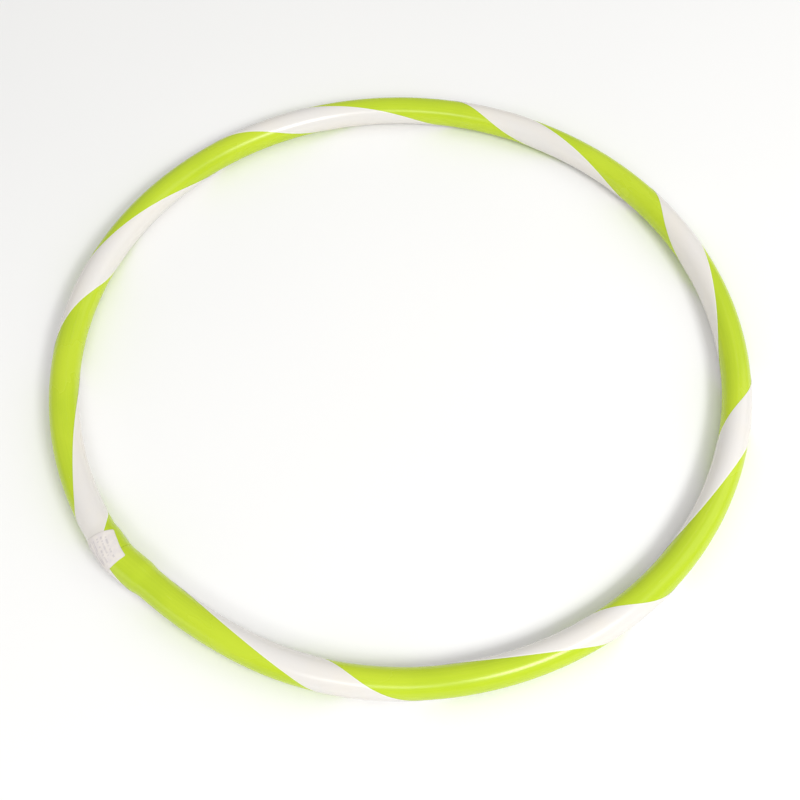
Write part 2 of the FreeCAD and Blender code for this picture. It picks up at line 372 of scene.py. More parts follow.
@dataclass(frozen=True)
class TapeFilm:
    """Glossy adhesive film: cross-stretch ripples, faint mottle, grime caught along its edges, and a
    painted highlight just inside each edge.
    """

    half_width: float
    white: Colour = (0.755, 0.718, 0.658)
    cool_white: Colour = (0.735, 0.712, 0.684)
    grime: Colour = (0.52, 0.52, 0.38)
    # colour of the painted highlight laid along the tape's edges, standing in for light caught by the rim
    painted_edge_highlight: Colour = (0.84, 0.82, 0.78)
    gloss: float = 0.20
    dull: float = 0.36
    grime_width: float = 0.4 * MM
    painted_highlight_width: float = 1.1 * MM
    ripple_depth: float = 0.020 * MM
    grain_depth: float = 0.003 * MM

    def material(self) -> bpy.types.Material:
        """Builds the node tree."""
        shade = Shade.named("white_tape_film")
        place = shade.place()
        run, across, _ = shade.parts(place)
        from_edge = self.half_width - abs(across)
        speckle = shade.noise(place, (260.0, 260.0, 1.0), 3.0)
        patches = shade.noise(place, (16.0, 40.0, 1.0), 2.0)
        ripple = shade.noise(place, (170.0, 26.0, 1.0), 2.0)
        grain = shade.noise(place, (1300.0, 1300.0, 1.0), 1.0)
        dirty = from_edge.ramp(self.grime_width, 0.0) * speckle.ramp(0.35, 0.70)
        colour = shade.mixed(patches.ramp(0.30, 0.70), self.white, self.cool_white)
        # Painted highlight: a paler line just inside each edge, standing in for light caught by the film's
        # rounded rim.
        painted_highlight_rim = from_edge.ramp(self.painted_highlight_width, self.grime_width)
        colour = shade.mixed(painted_highlight_rim * 0.7, colour, self.painted_edge_highlight)
        colour = shade.mixed(dirty * 0.30, colour, self.grime)
        rough = self.gloss + (self.dull - self.gloss) * (patches * 0.5 + dirty * 0.5)
        relief = shade.bump(grain, self.grain_depth, shade.bump(ripple, self.ripple_depth))
        return shade.finish(Base_Color=colour, Roughness=rough, Normal=relief, IOR=1.52)


@dataclass(frozen=True)
class StickerPaper:
    """Coated paper with plain grey marks: rows of dashes and a block of bars, neither of them text."""

    length: float
    wrap: float
    paper: Colour = (0.765, 0.718, 0.672)
    shadow_paper: Colour = (0.715, 0.672, 0.652)
    ink: Colour = (0.42, 0.39, 0.42)
    faintest: float = 0.10
    boldest: float = 0.45
    grimy_rim: Colour = (0.55, 0.52, 0.46)
    dash_rows: tuple[float, ...] = (5.0 * MM, 8.5 * MM, 12.0 * MM)
    row_height: float = 1.5 * MM
    dash_length: float = 1.1 * MM
    bar_pitch: float = 0.55 * MM
    bars_from: float = -14.0 * MM
    bars_to: float = 2.0 * MM
    margin: float = 4.0 * MM
    blank_dashes: float = 0.38
    blank_bars: float = 0.5
    rim_width: float = 0.8 * MM
    rim_grime: float = 0.25
    smooth: float = 0.36
    rough_fibres: float = 0.16
    fibre_depth: float = 0.006 * MM

    def marks(self, shade: Shade, along: Wire, up: Wire) -> Wire:
        """Where the ink is.

        Args:
            shade: The material.
            along: Distance along the tube from the sticker's middle.
            up: Distance round the tube from its middle.

        Returns:
            1 on ink, 0 on bare paper.
        """
        inside = abs(along) < self.length / 2 - self.margin
        ink: Value = 0.0
        for index, row in enumerate(self.dash_rows):
            band = abs(up - row) < self.row_height / 2
            cell = shade.joined((along / self.dash_length).floor(), float(index), 0.0)
            ink = band * (shade.chance(cell) > self.blank_dashes) + ink
        bar_cell = shade.joined((up / self.bar_pitch).floor(), 0.0, 7.0)
        bars = (shade.chance(bar_cell) > self.blank_bars) * (up > self.bars_from) * (up < self.bars_to)
        return (ink + bars) * inside

    def material(self) -> bpy.types.Material:
        """Builds the node tree."""
        shade = Shade.named("sticker_paper")
        place = shade.place()
        along, up, _ = shade.parts(place)
        fibres = shade.noise(place, (900.0, 1400.0, 1.0), 3.0)
        wear = shade.noise(place, (220.0, 220.0, 1.0), 2.0)
        from_end = self.length / 2 - abs(along)
        from_side = self.wrap / 2 - abs(up)
        rim = from_end.math("MINIMUM", from_side).ramp(self.rim_width, 0.0)
        colour = shade.mixed(wear.ramp(0.35, 0.65), self.paper, self.shadow_paper)
        strength = self.faintest + (self.boldest - self.faintest) * wear.ramp(0.25, 0.60)
        colour = shade.mixed(self.marks(shade, along, up) * strength, colour, self.ink)
        colour = shade.mixed(rim * self.rim_grime, colour, self.grimy_rim)
        return shade.finish(Base_Color=colour, Roughness=self.smooth + self.rough_fibres * fibres,
                            Normal=shade.bump(fibres, self.fibre_depth), IOR=1.45)


@dataclass(frozen=True)
class PlugPlastic:
    """Plain moulded plastic with a fine matt skin and faint flow marks."""

    pale: Colour = (0.64, 0.64, 0.61)
    flow: Colour = (0.56, 0.56, 0.53)
    smooth: float = 0.42
    rough_flow: float = 0.16
    skin_depth: float = 0.010 * MM

    def material(self) -> bpy.types.Material:
        """Builds the node tree."""
        shade = Shade.named("plug_plastic")
        place = shade.solid_place()
        flow = shade.noise(place, (60.0, 60.0, 200.0), 3.0)
        skin = shade.noise(place, (2200.0, 2200.0, 2200.0), 2.0)
        colour = shade.mixed(flow.ramp(0.35, 0.65), self.pale, self.flow)
        return shade.finish(Base_Color=colour, Roughness=self.smooth + self.rough_flow * flow,
                            Normal=shade.bump(skin, self.skin_depth), IOR=1.50)


@dataclass(frozen=True)
class StapleSteel:
    """Bright galvanised flat wire with drawing marks and a little dulling."""

    bright: Colour = (0.66, 0.66, 0.67)
    dulled: Colour = (0.42, 0.41, 0.40)
    smooth: float = 0.24
    rough_spangle: float = 0.22
    mark_depth: float = 0.008 * MM

    def material(self) -> bpy.types.Material:
        """Builds the node tree."""
        shade = Shade.named("staple_steel")
        place = shade.solid_place()
        spangle = shade.noise(place, (1500.0, 1500.0, 1500.0), 3.0)
        drawn = shade.noise(place, (300.0, 300.0, 6000.0), 2.0)
        colour = shade.mixed(spangle.ramp(0.40, 0.75), self.bright, self.dulled)
        rough = self.smooth + self.rough_spangle * spangle
        return shade.finish(Base_Color=colour, Metallic=1.0, Roughness=rough,
                            Normal=shade.bump(drawn, self.mark_depth))


@dataclass(frozen=True)
class PaleFloor:
    """Plain pale studio paper."""

    paper: Colour = (0.90, 0.90, 0.89)
    paper_shade: Colour = (0.88, 0.88, 0.875)

    def material(self) -> bpy.types.Material:
        """Builds the node tree."""
        shade = Shade.named("pale_floor")
        place = shade.solid_place()
        cloudy = shade.noise(place, (1.5, 1.5, 1.5), 2.0)
        colour = shade.mixed(cloudy.ramp(0.30, 0.70), self.paper, self.paper_shade)
        return shade.finish(Base_Color=colour, Roughness=0.75, Specular_IOR_Level=0.15)


# ---- The ring's line and the tube's surface ----

@dataclass(frozen=True)
class Stretch:
    """One arc or straight of the ring's line; places on the ground are complex numbers."""

    start: complex
    heading: float
    curvature: float
    length: float

    def point(self, passed: Any) -> Any:
        """Place after a distance along the stretch."""
        half_turn = self.curvature * passed / 2
        return self.start + passed * np.sinc(half_turn / math.pi) * np.exp(1j * (self.heading + half_turn))

    def heading_at(self, passed: Any) -> Any:
        """Direction of travel after a distance along the stretch."""
        return self.heading + self.curvature * passed

    @classmethod
    def arc(cls, start: complex, heading: float, end: complex) -> "Stretch":
        """Arc from a start and its heading to an end.

        Args:
            start: Where it starts.
            heading: Which way it leaves.
            end: Where it ends.

        Returns:
            The arc.
        """
        chord = (end - start) * np.exp(-1j * heading)
        curvature = 2 * chord.imag / abs(chord) ** 2
        turn = 2 * math.atan2(chord.imag, chord.real)
        return cls(start, heading, curvature, turn / curvature)


@dataclass(frozen=True)
class RingLine:
    """Centre line of the hoop: nearly a circle, with a blunt corner where the ends are joined."""

    height: float
    overall_diameter: float = 600 * MM
    tube_diameter: float = 25 * MM
    joint_bearing: float = 220.5
    joint_stands_out: float = 3 * MM
    left_end_outward: float = 2.0
    right_end_inward: float = 11.0
    left_straight: float = 1.2 * MM
    right_straight: float = 41.2 * MM
    left_relaxed: float = 64.0
    right_relaxed: float = 42.0
    corner_bend_radius: float = 60 * MM

    @property
    def radius(self) -> float:
        """Radius of the circle that most of the line follows."""
        return (self.overall_diameter - self.tube_diameter) / 2

    @staticmethod
    def two_arcs(start: complex, heading_in: float, end: complex, heading_out: float) -> list[Stretch]:
        """Two arcs that join two places smoothly.

        Args:
            start: Where they start.
            heading_in: Heading there.
            end: Where they end.
            heading_out: Heading there.

        Returns:
            Both arcs.
        """
        way_in, way_out = np.exp(1j * heading_in), np.exp(1j * heading_out)
        chord = end - start
        ahead = (chord * (way_in + way_out).conjugate()).real
        spread = 2 * (1 - (way_in * way_out.conjugate()).real)
        reach = (math.sqrt(ahead**2 + spread * abs(chord) ** 2) - ahead) / spread
        middle = (start + end + (way_in - way_out) * reach) / 2
        first = Stretch.arc(start, heading_in, middle)
        return [first, Stretch.arc(middle, first.heading_at(first.length), end)]

    @cached_property
    def stretches(self) -> list[Stretch]:
        """The whole line, once round from the seam."""
        quarter = math.pi / 2
        joint = math.radians(self.joint_bearing)
        corner = (self.radius + self.joint_stands_out) * np.exp(1j * joint)
        heading_left = joint + quarter - math.radians(self.left_end_outward)
        heading_right = joint + quarter + math.radians(self.right_end_inward)
        bend = heading_right - heading_left
        reach = self.corner_bend_radius * math.tan(bend / 2)
        bend_start = corner - reach * np.exp(1j * heading_left)
        bend_end = corner + reach * np.exp(1j * heading_right)
        left_start = bend_start - self.left_straight * np.exp(1j * heading_left)
        right_end = bend_end + self.right_straight * np.exp(1j * heading_right)
        leaves = joint - math.radians(self.left_relaxed)
        returns = joint + math.radians(self.right_relaxed)
        whole_bend = Stretch.arc(bend_start, heading_left, bend_end)
        half = whole_bend.length / 2
        seam, seam_heading = whole_bend.point(half), whole_bend.heading_at(half)
        return_point = self.radius * np.exp(1j * returns)
        round_length = self.radius * (2 * math.pi - returns + leaves)
        return [
            Stretch(seam, seam_heading, whole_bend.curvature, half),
            Stretch(bend_end, heading_right, 0.0, self.right_straight),
            *self.two_arcs(right_end, heading_right, return_point, returns + quarter),
            Stretch(return_point, returns + quarter, 1 / self.radius, round_length),
            *self.two_arcs(self.radius * np.exp(1j * leaves), leaves + quarter, left_start, heading_left),
            Stretch(left_start, heading_left, 0.0, self.left_straight),
            Stretch(bend_start, heading_left, whole_bend.curvature, half),
        ]

    @cached_property
    def length(self) -> float:
        """Length once round."""
        return sum(stretch.length for stretch in self.stretches)

    def place(self, along: np.ndarray) -> tuple[np.ndarray, np.ndarray]:
        """Points and headings on the line.

        Args:
            along: Distances from the seam.

        Returns:
            Places on the ground as complex numbers, and headings in radians.
        """
        wrapped = np.mod(along, self.length)
        ends = np.cumsum([stretch.length for stretch in self.stretches])
        which = np.minimum(np.searchsorted(ends, wrapped), len(ends) - 1)
        places = np.zeros(wrapped.shape, complex)
        headings = np.zeros(wrapped.shape)
        for index, stretch in enumerate(self.stretches):
            here = which == index
            passed = wrapped[here] - (ends[index] - stretch.length)
            places[here] = stretch.point(passed)
            headings[here] = stretch.heading_at(passed)
        return places, headings


@dataclass(frozen=True)
class TubeShape:
    """Outside of the tube: round, swollen over the plug, and a little flattened by its bending."""

    line: RingLine
    end_stretch: float = 1.2 * MM
    plug_left: float = 18 * MM
    plug_right: float = 22 * MM
    stretch_taper: float = 12 * MM
    flattening: float = 0.10 * MM
    flat_waves: int = 7
    flat_sway: float = 0.4

    @property
    def tube_radius(self) -> float:
        """Radius away from the joint."""
        return self.line.tube_diameter / 2

    def from_seam(self, along: np.ndarray) -> np.ndarray:
        """Signed distance from the seam, negative before it."""
        half = self.line.length / 2
        return np.mod(along + half, self.line.length) - half

    def swelling(self, along: np.ndarray) -> np.ndarray:
        """1 over the plug, easing to 0 beyond it.

        Args:
            along: Distances from the seam.

        Returns:
            The share of the full swelling.
        """
        signed = self.from_seam(along)
        full = np.where(signed >= 0, self.plug_right, self.plug_left)
        share = np.clip((np.abs(signed) - full) / self.stretch_taper, 0, 1)
        return (1 + np.cos(math.pi * share)) / 2

    def radius(self, along: np.ndarray, angle: np.ndarray) -> np.ndarray:
        """Distance of the outside from the line.

        Args:
            along: Distances from the seam.
            angle: Angles round the tube.

        Returns:
            The radii, never more than the true round tube's.
        """
        swelling = self.swelling(along)
        wave = 1 - self.flat_sway + self.flat_sway * np.sin(
            2 * math.pi * self.flat_waves * along / self.line.length)
        flat = self.flattening * wave * (1 - swelling) * np.cos(angle) ** 2
        return self.tube_radius + self.end_stretch * swelling - flat

    def point(self, along: np.ndarray, angle: np.ndarray, lift: Any = 0.0) -> np.ndarray:
        """Points that stand above the outside of the tube.

        Args:
            along: Distances from the seam.
            angle: Angles round the tube.
            lift: Heights above the outside.

        Returns:
            Points, with their three coordinates last.
        """
        along, angle, lift = np.broadcast_arrays(along, angle, lift)
        place, heading = self.line.place(along)
        reach = self.radius(along, angle) + lift
        ground = place + reach * np.cos(angle) * np.exp(1j * (heading - math.pi / 2))
        return np.stack([ground.real, ground.imag, self.line.height + reach * np.sin(angle)], -1)


# ---- Meshes ----

def grid_faces(rows: int, columns: int, round_rows: bool, round_columns: bool,
               start: int = 0) -> np.ndarray:
    """Quads of a grid of points.

    Args:
        rows: Number of rows of points.
        columns: Points in a row.
        round_rows: Whether the last row joins the first.
        round_columns: Whether each row closes on itself.
        start: Number of the first point.

    Returns:
        Four point numbers for each quad.
    """
    row = np.arange(rows if round_rows else rows - 1)[:, None]
    column = np.arange(columns if round_columns else columns - 1)[None, :]
    next_row, next_column = (row + 1) % rows, (column + 1) % columns
    corners = [row * columns + column, row * columns + next_column,
               next_row * columns + next_column, next_row * columns + column]
    return start + np.stack([np.broadcast_to(c, (row.size, column.size)).ravel() for c in corners], -1)


def make_piece(name: str, points: np.ndarray, faces: Sequence[np.ndarray],
               laid: np.ndarray) -> bpy.types.Object:
    """A smooth mesh object that carries its laid-out places.

    Args:
        name: The piece's name.
        points: Vertex positions.
        faces: Arrays of quads.
        laid: The laid-out place of each vertex.

    Returns:
        The object.
    """
    quads = np.concatenate(faces)
    mesh = bpy.data.meshes.new(name)
    mesh.from_pydata(points.reshape(-1, 3).tolist(), [], quads.tolist())
    places = mesh.attributes.new(LAID, "FLOAT_VECTOR", "POINT")
    places.data.foreach_set("vector", laid.ravel().astype(np.float32))
    mesh.polygons.foreach_set("use_smooth", [True] * len(quads))
    mesh.validate()
    mesh.update()
    piece = bpy.data.objects.new(name, mesh)
    bpy.context.scene.collection.objects.link(piece)
    return piece


def dress(piece: bpy.types.Object, material: bpy.types.Material, replaced: Node) -> None:
    """Gives a new piece its finish and its body, and hides the CAD node that it stands for.

    Args:
        piece: The new piece.
        material: Its finish.
        replaced: The node that is no longer shown.
    """
    piece.data.materials.append(material)
    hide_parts(replaced.value)
    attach(piece, ROOT)
    log.info("%s: %d faces, stands for %s", piece.name, len(piece.data.polygons), replaced.value)


@dataclass(frozen=True)
class HoopTube:
    """The lime tube: one skin along the outside, round both cut ends and back through the bore."""

    shape: TubeShape
    wall: float = 1.6 * MM
    seam_gap: float = 0.3 * MM
    cut_round: float = 0.18 * MM
    outside_rows: int = 720
    bore_rows: int = 300
    columns: int = 64
    cut_steps: int = 3

    def stations(self) -> tuple[np.ndarray, np.ndarray]:
        """Rows of the skin.

        Returns:
            Distances from the seam, and depths below the outside.
        """
        first, last = self.seam_gap / 2, self.shape.line.length - self.seam_gap / 2
        turn = np.linspace(0, math.pi / 2, self.cut_steps + 1)
        ease_along = self.cut_round * (1 - np.sin(turn))
        ease_deep = self.cut_round * (1 - np.cos(turn))
        outside = np.linspace(first + self.cut_round, last - self.cut_round, self.outside_rows)
        bore = np.linspace(last - self.cut_round, first + self.cut_round, self.bore_rows)
        along = np.concatenate([outside, last - ease_along[1:], last - ease_along[::-1][:-1],
                                bore, first + ease_along[1:], first + ease_along[::-1][:-1]])
        depth = np.concatenate([np.zeros(outside.size), ease_deep[1:], self.wall - ease_deep[::-1][:-1],
                                np.full(bore.size, self.wall), self.wall - ease_deep[1:],
                                ease_deep[::-1][:-1]])
        return along, depth

    def build(self) -> bpy.types.Object:
        """Makes the tube's mesh and dresses it."""
        along, depth = self.stations()
        angle = np.linspace(0, 2 * math.pi, self.columns, endpoint=False)
        points = self.shape.point(along[:, None], angle[None, :], -depth[:, None])
        reach = self.shape.tube_radius - depth[:, None]
        laid = np.stack(np.broadcast_arrays(along[:, None], reach * np.cos(angle),
                                            reach * np.sin(angle)), -1)
        faces = grid_faces(along.size, self.columns, True, True)
        piece = make_piece("lime_tube", points, [faces[:, ::-1]], laid)
        dress(piece, TubePlastic().material(), Node.TUBE)
        return piece


@dataclass(frozen=True)
class SpiralTape:
    """White tape wound round the tube by hand, each turn on the line that a taut tape takes."""

    shape: TubeShape
    width: float = 30 * MM
    thickness: float = 0.25 * MM
    glue: float = 0.05 * MM
    end_gap: float = 1.0 * MM
    edge_round: float = 0.12 * MM
    pucker: float = 0.16 * MM
    pucker_reach: float = 5 * MM
    puckers_per_turn: int = 31
    cut_turn: float = 0.25
    tops: tuple[float, ...] = (-8.6, 36.1, 80.7, 123.8, 166.7, 209.0, 252.7, 303.0)
    paces: tuple[float, ...] = (0.5, 0.8, 0.85, 0.9, 1.05, 1.0, 0.95, 0.8)
    rows_per_turn: int = 120
    middle_columns: int = 20
    walk_steps: int = 3
    nearby_turns: float = 0.01
    halvings: int = 60
    gain_steps: int = 64

    @property
    def thick(self) -> float:
        """Tube radius as a share of the ring's."""
        return self.shape.tube_radius / self.shape.line.radius

    def along_of(self, bearing: np.ndarray) -> np.ndarray:
        """Distance from the seam at a bearing from the joint."""
        return bearing * self.shape.line.length / (2 * math.pi)

    def thick_at(self, bearing: np.ndarray) -> np.ndarray:
        """Tube radius at a bearing, swelling included, as a share of the ring's."""
        swelling = self.shape.swelling(self.along_of(bearing))
        return (self.shape.tube_radius + self.shape.end_stretch * swelling) / self.shape.line.radius

    def gain(self, first: np.ndarray, last: float, constant: float) -> np.ndarray:
        """Bearing gained while winding between two angles of the tube.

        Args:
            first: Angles at the start.
            last: Angle at the end.
            constant: The taut line's constant, which sets its lean.

        Returns:
            Radians along the ring.
        """
        share = (np.arange(self.gain_steps) + 0.5) / self.gain_steps
        angle = np.asarray(first)[..., None] + (last - np.asarray(first)[..., None]) * share
        reach = 1 + self.thick * np.cos(angle)
        slope = self.thick / (reach * np.tan(np.arccos(constant / reach)))
        return slope.mean(-1) * (last - first)

    @cached_property
    def constant(self) -> float:
        """The constant whose full turn fills an even share of the ring."""
        wanted = 2 * math.pi / len(self.tops)
        low, high = 0.5, 1 - self.thick - 1e-6
        for _ in range(self.halvings):
            middle = (low + high) / 2
            if self.gain(np.float64(0), 2 * math.pi, middle) < wanted:
                low = middle
            else:
                high = middle
        return middle

    def crossing(self, turn: np.ndarray) -> np.ndarray:
        """Bearing from the joint at which a turn crosses the top of the tube."""
        lap, index = np.divmod(turn.astype(int), len(self.tops))
        return np.radians(np.array(self.tops)[index] + 360 * lap)

    def middle(self, turns: np.ndarray) -> tuple[np.ndarray, np.ndarray]:
        """The tape's middle line.

        Args:
            turns: Turns wound since the first crossing.

        Returns:
            Bearings from the joint and angles round the tube, in radians.
        """
        turn = np.floor(turns)
        part = turns - turn
        before, start, end, after = [self.crossing(turn + step) for step in (-1, 0, 1, 2)]
        paces = np.array(self.paces)
        count = len(paces)
        rate_at_start = paces[turn.astype(int) % count] * (end - before) / 2
        rate_at_end = paces[(turn.astype(int) + 1) % count] * (after - start) / 2
        eased = (start + (end - start) * part**2 * (3 - 2 * part)
                 + rate_at_start * part * (1 - part) ** 2 - rate_at_end * part**2 * (1 - part))
        wound = 2 * math.pi * part
        angle = math.pi / 2 - wound
        lead = self.gain(angle, math.pi / 2, self.constant) - wound / len(self.tops)
        return eased + lead, angle - 2 * math.pi * turn

    def walk(self, bearing: np.ndarray, angle: np.ndarray, heading: np.ndarray, distance: float
             ) -> tuple[np.ndarray, np.ndarray, np.ndarray]:
        """Goes straight ahead over the tube in small steps.

        Args:
            bearing: Bearings at the start.
            angle: Angles round the tube there.
            heading: Headings there, 0 being along the tube.
            distance: How far, in metres.

        Returns:
            Bearings, angles and headings at the end.
        """
        stride = distance / self.shape.line.radius / self.walk_steps
        for _ in range(self.walk_steps):
            thick = self.thick_at(bearing)
            reach = 1 + thick * np.cos(angle)
            bend = -np.sin(angle) * np.cos(heading) / reach * stride
            halfway = heading + bend / 2
            bearing = bearing + np.cos(halfway) / reach * stride
            angle = angle + np.sin(halfway) / thick * stride
            heading = heading + bend
        return bearing, angle, heading

    def offsets(self) -> np.ndarray:
        """Distances across the tape, finer towards its rounded edges."""
        half = self.width / 2
        rim = self.edge_round * np.array([0.0, 0.12, 0.45, 1.0])
        inner = np.linspace(-half + rim[-1], half - rim[-1], self.middle_columns + 1)
        return np.concatenate([-half + rim[:-1], inner, half - rim[:-1][::-1]])

    def top_height(self, offsets: np.ndarray) -> np.ndarray:
        """Height of the film's face, rounded off at its edges."""
        inset = np.clip((self.width / 2 - np.abs(offsets)) / self.edge_round, 0, 1)
        return self.glue + self.thickness * (0.55 + 0.45 * np.sqrt(1 - (1 - inset) ** 2))

    def lifted(self, turns: np.ndarray, angle: np.ndarray, offsets: np.ndarray) -> np.ndarray:
        """Height of the small puckers where the film is squeezed on the ring's inner side.

        Args:
            turns: Turns wound, for each row.
            angle: Angles round the tube, for each point.
            offsets: Distances across the tape.

        Returns:
            Heights in metres.
        """
        near_edge = np.clip(1 - (self.width / 2 - np.abs(offsets)) / self.pucker_reach, 0, 1) ** 2
        inner_side = np.clip(-np.cos(angle), 0, 1) ** 2
        side = np.where(offsets > 0, 1.7, 0.0)
        beat = np.sin(2 * math.pi * self.puckers_per_turn * turns[:, None] + side)
        slow = 0.5 + 0.5 * np.sin(2 * math.pi * 2.3 * turns[:, None] + 2 * side)
        return self.pucker * near_edge * inner_side * np.clip(beat, 0, 1) ** 2 * slow

    @cached_property
    def turn_length(self) -> float:
        """Length of tape in one turn."""
        return math.hypot(2 * math.pi * self.shape.tube_radius, self.shape.line.length / len(self.tops))

    def grid(self, turns: np.ndarray, offsets: np.ndarray) -> tuple[np.ndarray, np.ndarray]:
        """Places on rows square to the tape's run.

        Args:
            turns: Turns wound at each row.
            offsets: Distances across the tape.

        Returns:
            Distances along the ring's line and angles round the tube.
        """
        bearing, angle = self.middle(turns)
        ahead, ahead_angle = self.middle(turns + self.nearby_turns)
        behind, behind_angle = self.middle(turns - self.nearby_turns)
        thick = self.thick_at(bearing)
        reach = 1 + thick * np.cos(angle)
        run = np.arctan2((ahead_angle - behind_angle) * thick, (ahead - behind) * reach)
        columns: dict[int, tuple[np.ndarray, np.ndarray]] = {}
        for side in (1, -1):
            order = [i for i in np.argsort(np.abs(offsets)) if offsets[i] * side >= 0]
            point = (bearing, angle, run + side * math.pi / 2)
            passed = 0.0
            for index in order:
                point = self.walk(*point, abs(offsets[index]) - passed)
                passed = abs(offsets[index])
                columns[int(index)] = point[:2]
        bearings = np.stack([columns[i][0] for i in range(offsets.size)], 1)
        angles = np.stack([columns[i][1] for i in range(offsets.size)], 1)
        return self.along_of(bearings), angles

    @property
    def span(self) -> tuple[float, float]:
        """Turns wound at the two ends."""
        gap = self.end_gap / self.turn_length
        return self.cut_turn + gap / 2, self.cut_turn + len(self.tops) - gap / 2

    def build(self) -> bpy.types.Object:
        """Makes the tape's closed mesh and dresses it."""
        rows = self.rows_per_turn * len(self.tops)
        turns = np.linspace(*self.span, rows + 1)
        offsets = self.offsets()
        along, angle = self.grid(turns, offsets)
        lift = self.lifted(turns, angle, offsets)
        face = self.shape.point(along, angle, self.top_height(offsets) + lift)
        back = self.shape.point(along, angle, self.glue + lift)
        points = np.concatenate([face, back[:, ::-1]], 1)
        run = np.broadcast_to((turns * self.turn_length)[:, None], along.shape)
        flat = np.stack([run, np.broadcast_to(offsets, along.shape), np.zeros(along.shape)], -1)
        laid = np.concatenate([flat, flat[:, ::-1]], 1)
        columns = 2 * offsets.size
        sides = grid_faces(turns.size, columns, False, True)
        near = np.arange(offsets.size - 1)
        far = columns - 1 - near
        first_cap = np.stack([near, near + 1, far - 1, far], -1)
        last_cap = first_cap[:, ::-1] + rows * columns
        faces = [sides, first_cap[:, ::-1], last_cap[:, ::-1]]
        piece = make_piece("white_spiral_tape", points, faces, laid)
        dress(piece, TapeFilm(self.width / 2).material(), Node.TAPE)
        return piece


@dataclass(frozen=True)
class JointSticker:
    """Paper sticker pressed down over the joint, across the tape's edge and its two cut ends."""

    shape: TubeShape
    tape: SpiralTape
    length: float = 28 * MM
    wrap: float = 40 * MM
    thickness: float = 0.12 * MM
    glue: float = 0.05 * MM
    shift: float = -10 * MM
    middle_angle: float = 32.0
    skew: float = -14.0
    corner: float = 1.2 * MM
    curl: float = 0.25 * MM
    curl_reach: float = 4 * MM
    step_slope: float = 1.4 * MM
    searched_turns: float = 0.6
    search_steps: int = 240
    spacing: float = 0.5 * MM
    edge_round: float = 0.05 * MM

    def flat_grid(self) -> tuple[np.ndarray, np.ndarray]:
        """Places on the flat sticker, with its corners rounded.

        Returns:
            Distances along and up from its middle.
        """
        steps_along, steps_up = round(self.length / self.spacing), round(self.wrap / self.spacing)
        along, up = np.meshgrid(np.linspace(-0.5, 0.5, steps_along + 1) * self.length,
                                np.linspace(-0.5, 0.5, steps_up + 1) * self.wrap, indexing="ij")
        past_along = np.clip(np.abs(along) - (self.length / 2 - self.corner), 0, None)
        past_up = np.clip(np.abs(up) - (self.wrap / 2 - self.corner), 0, None)
        reach = np.hypot(past_along, past_up)
        pull = np.where(reach > 0, np.maximum(past_along, past_up) / np.maximum(reach, 1e-9), 1)
        along = along - np.sign(along) * past_along * (1 - pull)
        up = up - np.sign(up) * past_up * (1 - pull)
        return along, up

    def laid_on(self, flat_along: np.ndarray, flat_up: np.ndarray) -> tuple[np.ndarray, np.ndarray]:
        """Wraps the flat sticker on the tube, a little askew.

        Args:
            flat_along: Distances along the sticker from its middle.
            flat_up: Distances up it.

        Returns:
            Distances from the seam and angles round the tube.
        """
        skew = math.radians(self.skew)
        along = self.shift + flat_along * math.cos(skew) - flat_up * math.sin(skew)
        wound = flat_along * math.sin(skew) + flat_up * math.cos(skew)
        turned = wound / (self.shape.tube_radius + self.shape.end_stretch)
        return along, math.radians(self.middle_angle) + turned

    def over_tape(self, along: np.ndarray, angle: np.ndarray) -> np.ndarray:
        """How much of the tape's height is under each place.

        Args:
            along: Distances from the seam.
            angle: Angles round the tube.

        Returns:
            1 on the tape, easing to 0 beside it.
        """
        first, last = self.tape.span
        turns = np.concatenate([np.linspace(first, first + self.searched_turns, self.search_steps),
                                np.linspace(last - self.searched_turns, last, self.search_steps)])
        bearing, wound = self.tape.middle(turns)
        middle_along = self.shape.from_seam(self.tape.along_of(bearing))
        radius = self.shape.tube_radius
        across = np.full(along.shape, np.inf)
        for place, turn_angle in zip(middle_along, wound):
            aside = np.angle(np.exp(1j * (angle - turn_angle))) * radius
            across = np.minimum(across, np.hypot(along - place, aside))
        edge = self.tape.width / 2
        share = np.clip((edge + self.step_slope - across) / self.step_slope, 0, 1)
        return share * share * (3 - 2 * share)

    def build(self) -> bpy.types.Object:
        """Makes the sticker's closed mesh and dresses it."""
        flat_along, flat_up = self.flat_grid()
        along, angle = self.laid_on(flat_along, flat_up)
        rise = (self.tape.glue + self.tape.thickness) * self.over_tape(along, angle)
        to_end, to_side = self.length / 2 - np.abs(flat_along), self.wrap / 2 - np.abs(flat_up)
        from_corner = np.hypot(to_end, to_side)
        loose = (flat_up > 0) & (flat_along > 0)
        curl = np.where(loose, np.clip(1 - from_corner / self.curl_reach, 0, 1) ** 2 * self.curl, 0)
        under = self.glue + rise + curl
        rim = np.minimum(to_end, to_side)
        over = under + self.thickness - self.edge_round * (rim < self.spacing / 2)
        rows, columns = along.shape
        face = self.shape.point(along, angle, over).reshape(-1, 3)
        back = self.shape.point(along, angle, under).reshape(-1, 3)
        flat = np.stack([flat_along, flat_up, np.zeros(along.shape)], -1).reshape(-1, 3)
        top = grid_faces(rows, columns, False, False)
        bottom = grid_faces(rows, columns, False, False, start=rows * columns)[:, ::-1]
        number = np.arange(rows * columns).reshape(rows, columns)
        loop = np.concatenate([number[0, :-1], number[:-1, -1], number[-1, :0:-1], number[:0:-1, 0]])
        onward = np.roll(loop, -1)
        rim_faces = np.stack([loop, loop + rows * columns, onward + rows * columns, onward], -1)
        piece = make_piece("paper_sticker", np.concatenate([face, back]), [top, bottom, rim_faces],
                           np.concatenate([flat, flat]))
        dress(piece, StickerPaper(self.length, self.wrap).material(), Node.LABEL)
        return piece


